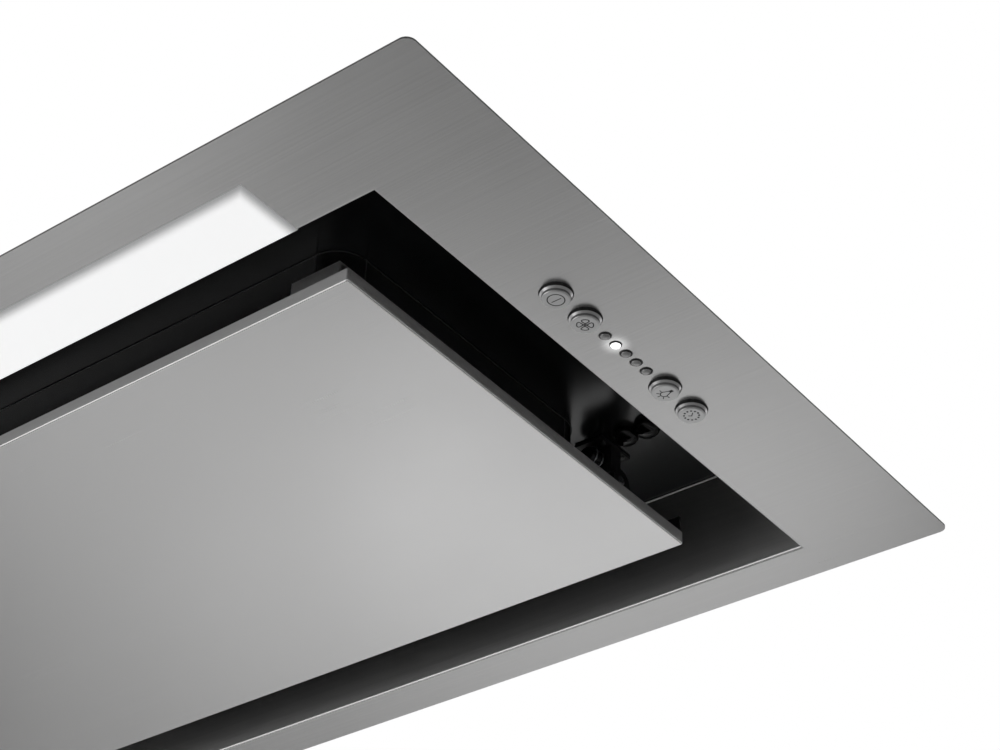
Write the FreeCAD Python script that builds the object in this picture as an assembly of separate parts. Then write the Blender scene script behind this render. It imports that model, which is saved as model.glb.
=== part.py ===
import FreeCAD, Part
import math
import os

# Ceiling range hood, millimetres. Z = 0 is the ceiling plane, X runs along the long side.

Vec = FreeCAD.Vector
UP = Vec(0, 0, 1)
ALONG_X = Vec(1, 0, 0)
ALONG_Y = Vec(0, 1, 0)

# Visible frame
frame_length = 900.0
frame_width = 500.0
frame_sheet = 1.2
frame_corner = 5.5
flange_side = 82.5
flange_front = 72.9
flange_back = 31.5
throat_depth = 75.0
throat_bend = 1.6
lip_width = 12.0
gasket_thickness = 1.6

# Clearances
loose_gap = 0.3
snug_gap = 0.2
screw_gap = 0.2
pin_gap = 0.05
press_gap = 0.02
trace = 0.01
over = 1.0

# Box above the ceiling
body_height = 320.0
body_sheet = 1.2
plate_sheet = 1.2
end_flange = 15.0
end_flange_inset = 6.0
casing_screw_shares = (0.2, 0.5, 0.8)

# Suction panel
panel_gap_side = 55.5
panel_gap_front = 43.6
panel_thickness = 8.15
panel_sheet = 1.0
panel_proud = 0.9
panel_edge = 0.9
panel_corner = 1.5

# Filter collar and grease filters
collar_end_gap = 46.2
collar_side_gap = 40.45
collar_height = 38.8
collar_corner = 20.0
collar_sheet = 1.2
rim_width = 11.8
filter_gap = 1.0
filter_height = 18.0
filter_sheet = 1.0
filter_border = 14.0
mesh_sheet = 0.8
mesh_columns = 14
mesh_rows = 10
mesh_strand = 2.4
tongue_half = 10.0
tongue_reach = 4.5
tongue_offset = 70.0

# Filter latch
latch_travel = 7.0
latch_bolt_half = 11.0
latch_bolt_depth = 18.0
latch_bolt_reach = 5.5
latch_bolt_thickness = 1.5
latch_stem_half = 4.0
latch_stem_depth = 5.0
latch_stem_inset = 11.0
latch_knob_half = 14.0
latch_knob_depth = 10.0
latch_knob_height = 4.6
latch_knob_round = 2.0
latch_pocket = 2.0
latch_pocket_height = 6.0

# Panel hinge
hinge_back_inset = 18.9
hinge_z = 46.0
hinge_end_inset = 37.0
hinge_width = 21.0
hinge_barrel = 8.0
hinge_web = 10.0
hinge_base_depth = 30.0
hinge_base_sheet = 2.0
hinge_pin_radius = 3.0
hinge_pin_head = 5.0
hinge_pin_head_height = 2.0
arm_gap = 2.0
arm_sheet = 2.5
arm_foot_depth = 22.0
tab_inset = 1.0
tab_sheet = 1.5
tab_height = 11.0

# Panel catch
catch_end_inset = 8.0
catch_length = 34.0
catch_height = 9.2
catch_lip = 36.0
magnet_length = 22.0
magnet_depth = 12.0
magnet_end_inset = 26.0
catch_arm_depth = 58.0
catch_arm_thickness = 4.0

# Lamp
lamp_overhang = 4.8
lamp_depth = 41.9
lamp_upper = 1.8
lamp_shoulder = 4.0
lamp_wall = 1.2
lamp_margin = 3.2
lamp_height = 24.0
lamp_board_sheet = 1.6
lamp_board_inset = 6.0
lamp_board_half_width = 9.0
chip_count = 42
chip_length = 3.5
chip_width = 2.8
chip_height = 0.8
lamp_tab_shares = (-0.7, -0.24, 0.24, 0.7)
lamp_tab_half = 12.0
tab_depth = 9.0
driver_length = 150.0
driver_width = 40.0
driver_height = 25.0
driver_round = 3.0
driver_end_gap = 17.5
driver_back_gap = 18.5

# Push buttons and indicators
keypad_offset = 25.3
keypad_y = 1.2
button_near = 37.0
button_far = 62.5
button_hole = 9.375
button_ring = 8.8
button_cap = 7.7
button_reach = 4.2
button_step = 1.9
button_round = 0.8
button_chamfer = 1.0
button_flange = 10.5
button_flange_height = 1.5
button_stem = 2.5
button_stem_length = 6.7
switch_overlap = 1.0
switch_half = 6.0
switch_height = 4.0
switch_depth = 3.0
carrier_half = 20.0
carrier_half_length = 84.0
carrier_sheet = 4.0
carrier_post = 3.5
carrier_post_inset = 5.0
board_sheet = 1.6
cover_gap = 0.6
cover_wall = 1.6
cover_height = 26.0
indicator_pitch = 9.5
indicator_count = 5
indicator_hole = 3.7
lens_radius = 3.3
lens_reach = 0.7
lens_round = 0.6
lens_flange = 4.2
lens_flange_height = 1.0
lens_top = 12.0

# Fasteners
stud_radius = 2.0
stud_height = 7.0
nut_half = 3.5
nut_height = 3.2
screw_radius = 2.0
screw_head = 3.8
screw_head_height = 2.4
screw_length = 8.0
bolt_length = 10.5
seam_long_shares = (-0.8, -0.4, 0.0, 0.4, 0.8)
seam_short_shares = (-0.7, 0.0, 0.7)

# Blower
blower_end_gap = 257.5
blower_shift = 28.7
scroll_side_gap = 37.1
scroll_step = 18.0
scroll_sheet = 1.2
scroll_lift = 33.0
motor_room = 60.0
tongue_share = 3 / 11
inlet_step = 12.0
inlet_ring = 9.0
wheel_side_gap = 32.0
wheel_depth = 20.0
wheel_low_gap = 13.0
wheel_high_gap = 18.0
wheel_disc = 2.0
wheel_ring = 3.0
blade_count = 32
blade_sheet = 1.2
blade_curve = 16.0
hub_radius = 14.0
hub_length = 24.0
shaft_radius = 4.0
shaft_reach = 26.0
shaft_inset = 12.0
motor_radius = 48.0
motor_roof_gap = 8.0
motor_flange = 62.0
motor_flange_height = 3.0
motor_screw_ring = 55.0
shaft_hole = 12.0
post_radius = 6.0
post_shares = ((-0.72, -0.47), (0.8, -0.23), (0.64, 0.91), (-1.63, 0.83))
post_screw_depth = 10.0

# Duct outlet
spigot_margin = 1.5
spigot_wall = 3.0
spigot_length = 56.0
spigot_flange_width = 13.5
spigot_flange_height = 4.0
spigot_screw_step = 6.5
ledge_depth = 3.0
ledge_length = 2.0
ledge_offset = 10.0
flap_pin_radius = 2.0
flap_knuckle = 4.0
flap_sheet = 1.2
flap_gap = 1.0
flap_pin_offset = 4.0
knuckle_share = 0.42
knuckle_count = 4
knuckle_gap = 0.4

# Hanging brackets
hanger_hole_reach = 26.3
hanger_inset = 47.8
hanger_half_width = 25.0
hanger_reach = 50.0
hanger_drop = 35.0
hanger_sheet = 3.0
hanger_hole = 4.5
hanger_screw_half = 14.0
hanger_screw_drop = 22.0

# Supply connection
terminal_depth = 40.0
terminal_half_length = 55.0
terminal_lift = 75.0
terminal_height = 80.0
terminal_y = 20.0
terminal_wall = 2.0
cover_round = 0.5
terminal_screw_inset = 6.0
gland_radius = 11.0
gland_length = 18.0
gland_bore = 4.5
gland_neck = 9.0
gland_inner = 6.0
strip_length = 44.0
strip_depth = 18.0
strip_height = 16.0
capacitor_radius = 14.0
capacitor_length = 60.0
capacitor_inset = 60.0
grommet_insets = ((24.0, 26.6), (8.5, 26.1))
grommet_radius = 7.4
grommet_height = 3.0
grommet_neck = 5.0
grommet_dish = 4.6
grommet_dish_depth = 2.0

# Derived positions
flange_low = -frame_sheet
throat_x = frame_length / 2 - flange_side
throat_front = flange_front - frame_width / 2
throat_back = frame_width / 2 - flange_back
throat_mid = (throat_front + throat_back) / 2
plate_low = flange_low + throat_depth
plate_high = plate_low + plate_sheet
gasket_low = plate_low - gasket_thickness
lip_low = gasket_low - frame_sheet
wall_x = throat_x + frame_sheet
wall_front = throat_front - frame_sheet
wall_back = throat_back + frame_sheet
shell_low = body_height - body_sheet
seam_high = plate_high + body_sheet
panel_x = throat_x - panel_gap_side
panel_front = throat_front + panel_gap_front
panel_back = throat_back - panel_gap_front
panel_low = flange_low - panel_proud
panel_high = panel_low + panel_thickness
collar_half_length = panel_x - collar_end_gap
collar_half_width = (panel_back - panel_front) / 2 - collar_side_gap
collar_front = throat_mid - collar_half_width
collar_back = throat_mid + collar_half_width
collar_low = plate_low - collar_height
rim_high = collar_low + collar_sheet
bay_x = collar_half_length - rim_width
bay_front = collar_front + rim_width
bay_back = collar_back - rim_width
hinge_y = panel_back - hinge_back_inset
hinge_outer = panel_x - hinge_end_inset
hinge_inner = hinge_outer - hinge_width
magnet_end = panel_x - magnet_end_inset
lamp_half_length = panel_x + lamp_overhang
lamp_tab_at = [lamp_half_length * share for share in lamp_tab_shares]
lamp_front = throat_front - lamp_depth
driver_x = throat_x - driver_end_gap - driver_length
driver_y = throat_back - driver_back_gap - driver_width
keypad_x = throat_x + keypad_offset
button_offsets = (-button_far, -button_near, button_near, button_far)
button_low = flange_low - button_reach
switch_low = carrier_sheet + loose_gap + button_flange_height + button_stem_length - switch_overlap
board_low = switch_low + switch_height
blower_x = blower_end_gap - throat_x
blower_y = throat_mid - blower_shift
scroll_start = blower_y - throat_front - scroll_side_gap
scroll_low = plate_high + scroll_lift
scroll_high = body_height - motor_room
wheel_radius = scroll_start - wheel_side_gap
inlet_radius = wheel_radius - inlet_step
wheel_low = scroll_low + wheel_low_gap
wheel_high = scroll_high - wheel_high_gap
motor_high = body_height - motor_roof_gap
shaft_low = wheel_high - shaft_reach
shaft_high = motor_high - shaft_inset
crown_y = scroll_start + 3 * scroll_step
tongue_y = scroll_start * tongue_share
outlet_y = blower_y + (crown_y + tongue_y) / 2
outlet_z = (scroll_low + scroll_high) / 2
spigot_radius = (scroll_high - scroll_low) / 2 - spigot_margin
spigot_inner = spigot_radius - spigot_wall
spigot_flange = spigot_radius + spigot_flange_width
spigot_screw_ring = spigot_radius + spigot_screw_step
knuckle_length = spigot_inner * knuckle_share
hanger_x = wall_x + hanger_hole_reach
hanger_y = (throat_front + hanger_inset, throat_back - hanger_inset)
terminal_low = plate_high + terminal_lift
terminal_high = terminal_low + terminal_height
grommet_at = [(panel_x - end, panel_back - back) for end, back in grommet_insets]


def block(x0, x1, y0, y1, z0, z1):
    return Part.makeBox(x1 - x0, y1 - y0, z1 - z0, Vec(x0, y0, z0))


def rod(radius, start, axis, length):
    return Part.makeCylinder(radius, length, start, axis)


def drill(radius, at, axis, depth):
    return rod(radius, at - axis * over, axis, depth + 2 * over)


def tube(outer, inner, start, axis, length):
    return rod(outer, start, axis, length).cut(rod(inner, start, axis, length))


def slab(x0, x1, y0, y1, z0, z1, radius):
    plain = block(x0, x1, y0, y1, z0, z1)
    uprights = [edge for edge in plain.Edges if edge.BoundBox.ZLength > (z1 - z0) / 2]
    return plain.makeFillet(radius, uprights)


def flipped(shape):
    return shape.mirror(Vec(0, 0, 0), ALONG_X)


def pair(shape):
    return Part.makeCompound([shape, flipped(shape)])


def screw(seat, axis, length):
    head = rod(screw_head, seat - axis * screw_head_height, axis, screw_head_height)
    return head.fuse(rod(screw_radius, seat, axis, length))


def screw_hole(seat, axis, length):
    return rod(screw_radius + screw_gap, seat - axis * over, axis, length + 2 * over)


def nut(point):
    corners = []
    for step in range(7):
        turn = math.radians(60 * step)
        reach = nut_half / math.cos(math.radians(30))
        corners.append(point + Vec(reach * math.cos(turn), reach * math.sin(turn), 0))
    body = Part.Face(Part.makePolygon(corners)).extrude(UP * nut_height)
    return body.cut(rod(stud_radius + pin_gap, point, UP, nut_height))


def save(name, shape):
    shape.exportStep("parts/" + name + ".step")


os.makedirs("parts", exist_ok=True)


# Trim frame: flange, folded-up throat walls and outward lip, with weld studs on the hidden side
def throat(grow, z0, z1):
    return block(-throat_x - grow, throat_x + grow, throat_front - grow, throat_back + grow, z0, z1)


def seam_points():
    points = []
    middle = lip_width / 2
    for share in seam_long_shares:
        x = throat_x * share
        points.append((x, wall_front - middle))
        points.append((x, wall_back + middle))
    for share in seam_short_shares:
        y = (throat_back - throat_front) / 2 * share
        points.append((wall_x + middle, throat_mid + y))
        points.append((-wall_x - middle, throat_mid + y))
    return points


def seam_holes(z0, z1):
    return [rod(screw_radius + screw_gap, Vec(x, y, z0), UP, z1 - z0) for x, y in seam_points()]


cover_x0 = keypad_x - carrier_half - cover_gap - cover_wall
cover_x1 = keypad_x + carrier_half + cover_gap + cover_wall
cover_y0 = keypad_y - carrier_half_length - cover_gap - cover_wall
cover_y1 = keypad_y + carrier_half_length + cover_gap + cover_wall
lamp_box_x = lamp_half_length + lamp_shoulder + lamp_margin
lamp_box_front = lamp_front - lamp_shoulder - lamp_margin
lamp_box_back = wall_front - loose_gap
stud_points = [(x, lamp_box_front - tab_depth / 2) for x in lamp_tab_at]
stud_points += [(keypad_x, cover_y0 - tab_depth / 2), (keypad_x, cover_y1 + tab_depth / 2)]
indicator_half = indicator_pitch * (indicator_count - 1) / 2
indicator_y = [keypad_y - indicator_half + indicator_pitch * step for step in range(indicator_count)]


def make_frame():
    flange = slab(
        -frame_length / 2, frame_length / 2, -frame_width / 2, frame_width / 2, flange_low, 0, frame_corner
    )
    walls = throat(frame_sheet, flange_low, gasket_low)
    lip = throat(frame_sheet + lip_width, lip_low, gasket_low)
    frame = flange.fuse([walls, lip]).cut(throat(0, flange_low - over, gasket_low + over)).removeSplitter()
    folds = []
    for edge in frame.Edges:
        box = edge.BoundBox
        on_face = abs(box.ZMax - flange_low) < trace
        inside = max(abs(box.XMin), abs(box.XMax)) < throat_x + trace
        if on_face and inside and box.YMin > throat_front - trace and box.YMax < throat_back + trace:
            folds.append(edge)
    frame = frame.makeFillet(throat_bend, folds)
    cuts = seam_holes(lip_low - over, gasket_low + over)
    cuts.append(
        block(
            -lamp_half_length - snug_gap, lamp_half_length + snug_gap, lamp_front - snug_gap,
            throat_front + over, flange_low - over, lamp_upper + snug_gap
        )
    )
    for offset in button_offsets:
        cuts.append(drill(button_hole, Vec(keypad_x, keypad_y + offset, flange_low), UP, frame_sheet))
    for y in indicator_y:
        cuts.append(drill(indicator_hole, Vec(keypad_x, y, flange_low), UP, frame_sheet))
    frame = frame.cut(cuts)
    return frame.fuse([rod(stud_radius, Vec(x, y, 0), UP, stud_height) for x, y in stud_points])


save("trim_frame", make_frame())


# Seam between frame and box: foam gasket, bolts and nuts
def make_gasket():
    ring = throat(frame_sheet + lip_width, gasket_low, plate_low)
    ring = ring.cut(throat(0, gasket_low - over, plate_low + over))
    return ring.cut(seam_holes(gasket_low - over, plate_low + over))


save("seam_gasket", make_gasket())
bolts = [screw(Vec(x, y, lip_low), UP, bolt_length) for x, y in seam_points()]
save("seam_bolts", Part.makeCompound(bolts))
save("seam_nuts", Part.makeCompound([nut(Vec(x, y, seam_high)) for x, y in seam_points()]))


# Intake plate: closes the throat, open inside the collar
def make_plate():
    plate = throat(frame_sheet + lip_width, plate_low, plate_high)
    cuts = seam_holes(plate_low - over, plate_high + over)
    cuts.append(block(-bay_x, bay_x, bay_front, bay_back, plate_low - over, plate_high + over))
    for x, y in grommet_at:
        cuts.append(drill(grommet_neck + snug_gap, Vec(x, y, plate_low), UP, plate_sheet))
    return plate.cut(cuts)


save("intake_plate", make_plate())


# Filter collar: rounded rim with a square bay for the two filters
def make_collar():
    outside = slab(
        -collar_half_length, collar_half_length, collar_front, collar_back,
        collar_low, plate_low, collar_corner
    )
    inside = slab(
        collar_sheet - collar_half_length, collar_half_length - collar_sheet, collar_front + collar_sheet,
        collar_back - collar_sheet, rim_high, plate_low + over, collar_corner - collar_sheet
    )
    bay = block(-bay_x, bay_x, bay_front, bay_back, collar_low - over, plate_low)
    return outside.cut([inside, bay])


save("filter_collar", make_collar())

# Grease filters: channel frame, two mesh sheets and a core, with a sprung latch on the back side
filter_x0 = filter_gap / 2
filter_x1 = bay_x - filter_gap
filter_front = bay_front + filter_gap
filter_back = bay_back - filter_gap
filter_mid = (filter_x0 + filter_x1) / 2
filter_high = collar_low + filter_height
bolt_low = rim_high + loose_gap
bolt_high = bolt_low + latch_bolt_thickness
stem_back = filter_back - latch_stem_inset
stem_front = stem_back - latch_stem_depth


def make_filter_frame():
    frame = block(filter_x0, filter_x1, filter_front, filter_back, collar_low, filter_high)
    inner = block(
        filter_x0 + filter_sheet, filter_x1 - filter_sheet, filter_front + filter_sheet,
        filter_back - filter_sheet, collar_low + filter_sheet, filter_high - filter_sheet
    )
    window = block(
        filter_x0 + filter_border, filter_x1 - filter_border, filter_front + filter_border,
        filter_back - filter_border - latch_pocket, collar_low - over, filter_high + over
    )
    slot = block(
        filter_mid - latch_stem_half - loose_gap, filter_mid + latch_stem_half + loose_gap,
        stem_front - latch_travel - loose_gap, stem_back + loose_gap, collar_low - over, bolt_low
    )
    mouth = block(
        filter_mid - latch_bolt_half - loose_gap, filter_mid + latch_bolt_half + loose_gap,
        filter_back - filter_border, filter_back + over, bolt_low - loose_gap, bolt_high + loose_gap
    )
    frame = frame.cut([inner, window, slot, mouth])
    tongues = []
    for side in (-tongue_offset, tongue_offset):
        tongues.append(
            block(
                filter_mid + side - tongue_half, filter_mid + side + tongue_half,
                filter_front - tongue_reach - filter_gap, filter_front + filter_sheet,
                bolt_low, bolt_low + filter_sheet
            )
        )
    return frame.fuse(tongues).removeSplitter()


def latch_space():
    return block(
        filter_mid - latch_knob_half - latch_pocket, filter_mid + latch_knob_half + latch_pocket,
        filter_back - latch_bolt_depth - latch_travel - latch_pocket, filter_back,
        collar_low, bolt_high + latch_pocket_height
    )


def make_mesh(z0):
    x0 = filter_x0 + filter_sheet + snug_gap
    x1 = filter_x1 - filter_sheet - snug_gap
    y0 = filter_front + filter_sheet + snug_gap
    y1 = filter_back - filter_sheet - snug_gap
    corners = [Vec(x0, y0, z0), Vec(x1, y0, z0), Vec(x1, y1, z0), Vec(x0, y1, z0), Vec(x0, y0, z0)]
    wires = [Part.makePolygon(corners)]
    open_x0 = filter_x0 + filter_border
    open_y0 = filter_front + filter_border
    pitch_x = (filter_x1 - filter_border - open_x0) / mesh_columns
    pitch_y = (filter_back - 2 * filter_border - latch_bolt_depth - open_y0) / mesh_rows
    half_x = (pitch_x - mesh_strand) / 2
    half_y = (pitch_y - mesh_strand) / 2
    for column in range(mesh_columns):
        for row in range(mesh_rows):
            at = Vec(open_x0 + pitch_x * (column + 0.5), open_y0 + pitch_y * (row + 0.5), z0)
            across = ALONG_X * half_x
            along = ALONG_Y * half_y
            wires.append(Part.makePolygon([at - across, at - along, at + across, at + along, at - across]))
    return Part.Face(wires, "Part::FaceMakerBullseye").extrude(UP * mesh_sheet).cut(latch_space())


def make_core():
    core = block(
        filter_x0 + filter_sheet + snug_gap, filter_x1 - filter_sheet - snug_gap,
        filter_front + filter_sheet + snug_gap, filter_back - filter_sheet - snug_gap,
        collar_low + filter_sheet + mesh_sheet, filter_high - filter_sheet
    )
    return core.cut(latch_space())


def make_latch():
    knob_y = (stem_front + stem_back) / 2
    knob = slab(
        filter_mid - latch_knob_half, filter_mid + latch_knob_half,
        knob_y - latch_knob_depth / 2, knob_y + latch_knob_depth / 2,
        collar_low - loose_gap - latch_knob_height, collar_low - loose_gap, latch_knob_round
    )
    stem = block(
        filter_mid - latch_stem_half, filter_mid + latch_stem_half, stem_front, stem_back,
        collar_low - loose_gap, bolt_low
    )
    bolt = block(
        filter_mid - latch_bolt_half, filter_mid + latch_bolt_half, filter_back - latch_bolt_depth,
        filter_back + latch_bolt_reach, bolt_low, bolt_high
    )
    return knob.fuse([stem, bolt])


filter_pieces = {
    "filter_frame": make_filter_frame(),
    "filter_mesh": make_mesh(collar_low + filter_sheet),
    "filter_core": make_core(),
    "filter_latch": make_latch(),
}
for piece, shape in filter_pieces.items():
    save(piece + "_right", shape)
    save(piece + "_left", flipped(shape))


# Suction panel: folded tray, filling and back sheet
def lowest_edges(shape, low):
    return [edge for edge in shape.Edges if edge.BoundBox.ZMax < low + trace]


def make_panel_skin():
    tray = slab(-panel_x, panel_x, panel_front, panel_back, panel_low, panel_high, panel_corner)
    tray = tray.makeFillet(panel_edge, lowest_edges(tray, panel_low))
    hollow = block(
        panel_sheet - panel_x, panel_x - panel_sheet, panel_front + panel_sheet, panel_back - panel_sheet,
        panel_low + panel_sheet, panel_high + over
    )
    return tray.cut(hollow)


def panel_layer(z0, z1):
    inset = panel_sheet + snug_gap
    return block(inset - panel_x, panel_x - inset, panel_front + inset, panel_back - inset, z0, z1)


save("panel_skin", make_panel_skin())
save("panel_core", panel_layer(panel_low + panel_sheet, panel_high - panel_sheet))
save("panel_backing", panel_layer(panel_high - panel_sheet, panel_high))


# Front catches: tabs on the panel and magnets on arms below the collar
def make_catch_bracket():
    x1 = panel_x - catch_end_inset
    x0 = x1 - catch_length
    y0 = panel_front + panel_sheet + snug_gap
    top = panel_high + catch_height
    web = block(x0, x1, y0, y0 + tab_sheet, panel_high, top)
    lip = block(x0, x1, y0, y0 + catch_lip, top - tab_sheet, top)
    foot = block(x0, x1, y0, y0 + arm_foot_depth, panel_high, panel_high + tab_sheet)
    return web.fuse([lip, foot])


def make_magnet():
    y1 = panel_front + catch_lip
    y0 = y1 - magnet_depth
    low = panel_high + catch_height + loose_gap
    top = collar_low - catch_arm_thickness
    magnet = block(magnet_end - magnet_length, magnet_end, y0, y1, low, top)
    arm = block(bay_x + filter_gap, magnet_end, y0, y0 + catch_arm_depth, top, collar_low)
    return magnet.fuse(arm)


save("catch_brackets", pair(make_catch_bracket()))
save("magnet_catches", pair(make_magnet()))


# Back hinges: bracket below the plate, pin, and arm on the panel
def make_hinge_bracket():
    width = hinge_outer - hinge_inner
    base = block(
        hinge_inner, hinge_outer, hinge_y - hinge_base_depth / 2, hinge_y + hinge_base_depth / 2,
        plate_low - hinge_base_sheet, plate_low
    )
    web = block(
        hinge_inner, hinge_outer, hinge_y - hinge_web / 2, hinge_y + hinge_web / 2, hinge_z,
        plate_low - hinge_base_sheet
    )
    barrel = rod(hinge_barrel, Vec(hinge_inner, hinge_y, hinge_z), ALONG_X, width)
    bore = drill(hinge_pin_radius + pin_gap, Vec(hinge_inner, hinge_y, hinge_z), ALONG_X, width)
    return base.fuse([web, barrel]).cut(bore).removeSplitter()


def make_hinge_pin():
    start = hinge_inner - loose_gap - hinge_pin_head_height
    end = hinge_outer + arm_gap + arm_sheet
    head = rod(hinge_pin_head, Vec(start, hinge_y, hinge_z), ALONG_X, hinge_pin_head_height)
    return head.fuse(rod(hinge_pin_radius, Vec(start, hinge_y, hinge_z), ALONG_X, end - start))


def make_hinge_arm():
    x0 = hinge_outer + arm_gap
    x1 = panel_x - tab_inset
    y1 = panel_back - panel_sheet - snug_gap
    y0 = y1 - arm_foot_depth
    side = [
        Vec(x0, y0, panel_high), Vec(x0, y1, panel_high), Vec(x0, hinge_y + hinge_barrel, hinge_z),
        Vec(x0, hinge_y - hinge_barrel, hinge_z), Vec(x0, y0, panel_high)
    ]
    plate = Part.Face(Part.makePolygon(side)).extrude(ALONG_X * arm_sheet)
    eye = rod(hinge_barrel, Vec(x0, hinge_y, hinge_z), ALONG_X, arm_sheet)
    foot = block(x0, x1, y0, y1, panel_high, panel_high + tab_sheet)
    tab = block(x0, x1, y1 - tab_sheet, y1, panel_high, panel_high + tab_height)
    hole = drill(hinge_pin_radius + press_gap, Vec(x0, hinge_y, hinge_z), ALONG_X, arm_sheet)
    return plate.fuse([eye, foot, tab]).cut(hole).removeSplitter()


save("hinge_brackets", pair(make_hinge_bracket()))
save("hinge_pins", pair(make_hinge_pin()))
save("hinge_arms", pair(make_hinge_arm()))


# Lamp: opal strip in the front flange, light box, strip board with emitters, supply on the plate
def make_diffuser():
    plug = block(-lamp_half_length, lamp_half_length, lamp_front, throat_front, flange_low, lamp_upper)
    shoulder_x = lamp_half_length + lamp_shoulder
    shoulder_y = lamp_front - lamp_shoulder
    shoulder = block(-shoulder_x, shoulder_x, shoulder_y, wall_front - snug_gap, 0, lamp_upper)
    return plug.fuse(shoulder).removeSplitter()


def make_lamp_housing():
    outside = block(-lamp_box_x, lamp_box_x, lamp_box_front, lamp_box_back, 0, lamp_height)
    inside = block(
        lamp_wall - lamp_box_x, lamp_box_x - lamp_wall, lamp_box_front + lamp_wall,
        lamp_box_back - lamp_wall, -over, lamp_height - lamp_wall
    )
    doorway = block(
        -lamp_half_length - lamp_shoulder - loose_gap, lamp_half_length + lamp_shoulder + loose_gap,
        lamp_front, lamp_box_back + over, -over, lamp_upper + snug_gap
    )
    tabs = []
    holes = []
    for x in lamp_tab_at:
        y0 = lamp_box_front - tab_depth
        tabs.append(block(x - lamp_tab_half, x + lamp_tab_half, y0, lamp_box_front, 0, lamp_wall))
        holes.append(drill(stud_radius + screw_gap, Vec(x, y0 + tab_depth / 2, 0), UP, lamp_wall))
    return outside.cut([inside, doorway]).fuse(tabs).cut(holes)


board_y = (lamp_front + throat_front) / 2
lamp_board_low = lamp_height - lamp_wall - lamp_board_sheet
lamp_board_x = lamp_half_length - lamp_board_inset


def make_chips():
    chips = []
    pitch = 2 * lamp_board_x / chip_count
    for step in range(chip_count):
        x = -lamp_board_x + pitch * (step + 0.5)
        chips.append(
            block(
                x - chip_length / 2, x + chip_length / 2, board_y - chip_width / 2, board_y + chip_width / 2,
                lamp_board_low - chip_height, lamp_board_low
            )
        )
    return Part.makeCompound(chips)


save("lamp_diffuser", make_diffuser())
save("lamp_housing", make_lamp_housing())
save(
    "lamp_board",
    block(
        -lamp_board_x, lamp_board_x, board_y - lamp_board_half_width, board_y + lamp_board_half_width,
        lamp_board_low, lamp_height - lamp_wall
    ),
)
save("lamp_chips", make_chips())
save(
    "lamp_driver",
    slab(
        driver_x, driver_x + driver_length, driver_y, driver_y + driver_width, plate_high,
        plate_high + driver_height, driver_round
    ),
)


# Controls: guide plate on the flange, buttons, indicator lenses, board with switches and cover
def make_carrier():
    x0 = keypad_x - carrier_half
    x1 = keypad_x + carrier_half
    y0 = keypad_y - carrier_half_length
    y1 = keypad_y + carrier_half_length
    plate = block(x0, x1, y0, y1, 0, carrier_sheet)
    posts = []
    for x in (x0 + carrier_post_inset, x1 - carrier_post_inset):
        for y in (y0 + carrier_post_inset, y1 - carrier_post_inset):
            posts.append(rod(carrier_post, Vec(x, y, carrier_sheet), UP, board_low - carrier_sheet))
    cuts = []
    for offset in button_offsets:
        cuts.append(drill(button_ring + loose_gap, Vec(keypad_x, keypad_y + offset, 0), UP, carrier_sheet))
    for y in indicator_y:
        cuts.append(drill(lens_radius + pin_gap, Vec(keypad_x, y, 0), UP, carrier_sheet))
    return plate.fuse(posts).cut(cuts)


def make_button(y):
    at = Vec(keypad_x, y, 0)
    cap = rod(button_cap, at + UP * button_low, UP, button_step)
    cap = cap.makeFillet(button_round, lowest_edges(cap, button_low))
    ring_low = button_low + button_step
    flange_seat = carrier_sheet + loose_gap
    ring = rod(button_ring, at + UP * ring_low, UP, flange_seat - ring_low)
    ring = ring.makeChamfer(button_chamfer, lowest_edges(ring, ring_low))
    flange = rod(button_flange, at + UP * flange_seat, UP, button_flange_height)
    stem = rod(button_stem, at + UP * (flange_seat + button_flange_height), UP, button_stem_length)
    return cap.fuse([ring, flange, stem]).removeSplitter()


def make_lenses():
    lenses = []
    for y in indicator_y:
        low = flange_low - lens_reach
        pipe = rod(lens_radius, Vec(keypad_x, y, low), UP, lens_top - low)
        pipe = pipe.makeFillet(lens_round, lowest_edges(pipe, low))
        lenses.append(pipe.fuse(rod(lens_flange, Vec(keypad_x, y, carrier_sheet), UP, lens_flange_height)))
    return Part.makeCompound(lenses)


def make_board():
    sheet = block(
        keypad_x - carrier_half, keypad_x + carrier_half, keypad_y - carrier_half_length,
        keypad_y + carrier_half_length, board_low, board_low + board_sheet
    )
    pieces = [sheet]
    for offset in button_offsets:
        y = keypad_y + offset
        body = block(
            keypad_x - switch_half, keypad_x + switch_half, y - switch_half, y + switch_half,
            switch_low, board_low
        )
        well = rod(button_stem + loose_gap, Vec(keypad_x, y, switch_low - over), UP, switch_depth + over)
        pieces.append(body.cut(well))
    return Part.makeCompound(pieces)


def make_cover():
    outside = block(cover_x0, cover_x1, cover_y0, cover_y1, 0, cover_height)
    inside = block(
        cover_x0 + cover_wall, cover_x1 - cover_wall, cover_y0 + cover_wall, cover_y1 - cover_wall, -over,
        cover_height - cover_wall
    )
    tabs = []
    holes = []
    for y0, y1 in ((cover_y0 - tab_depth, cover_y0), (cover_y1, cover_y1 + tab_depth)):
        tabs.append(block(keypad_x - tab_depth, keypad_x + tab_depth, y0, y1, 0, cover_wall))
        holes.append(rod(stud_radius + screw_gap, Vec(keypad_x, (y0 + y1) / 2, -over), UP, stud_height))
    return outside.cut(inside).fuse(tabs).cut(holes)


save("control_carrier", make_carrier())
for name, offset in zip(("power", "fan", "light", "timer"), button_offsets):
    save("button_" + name, make_button(keypad_y + offset))
save("indicator_lenses", make_lenses())
save("control_board", make_board())
save("control_cover", make_cover())
nuts = [nut(Vec(x, y, lamp_wall)) for x, y in stud_points[:len(lamp_tab_at)]]
nuts += [nut(Vec(x, y, cover_wall)) for x, y in stud_points[len(lamp_tab_at):]]
save("stud_nuts", Part.makeCompound(nuts))

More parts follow.
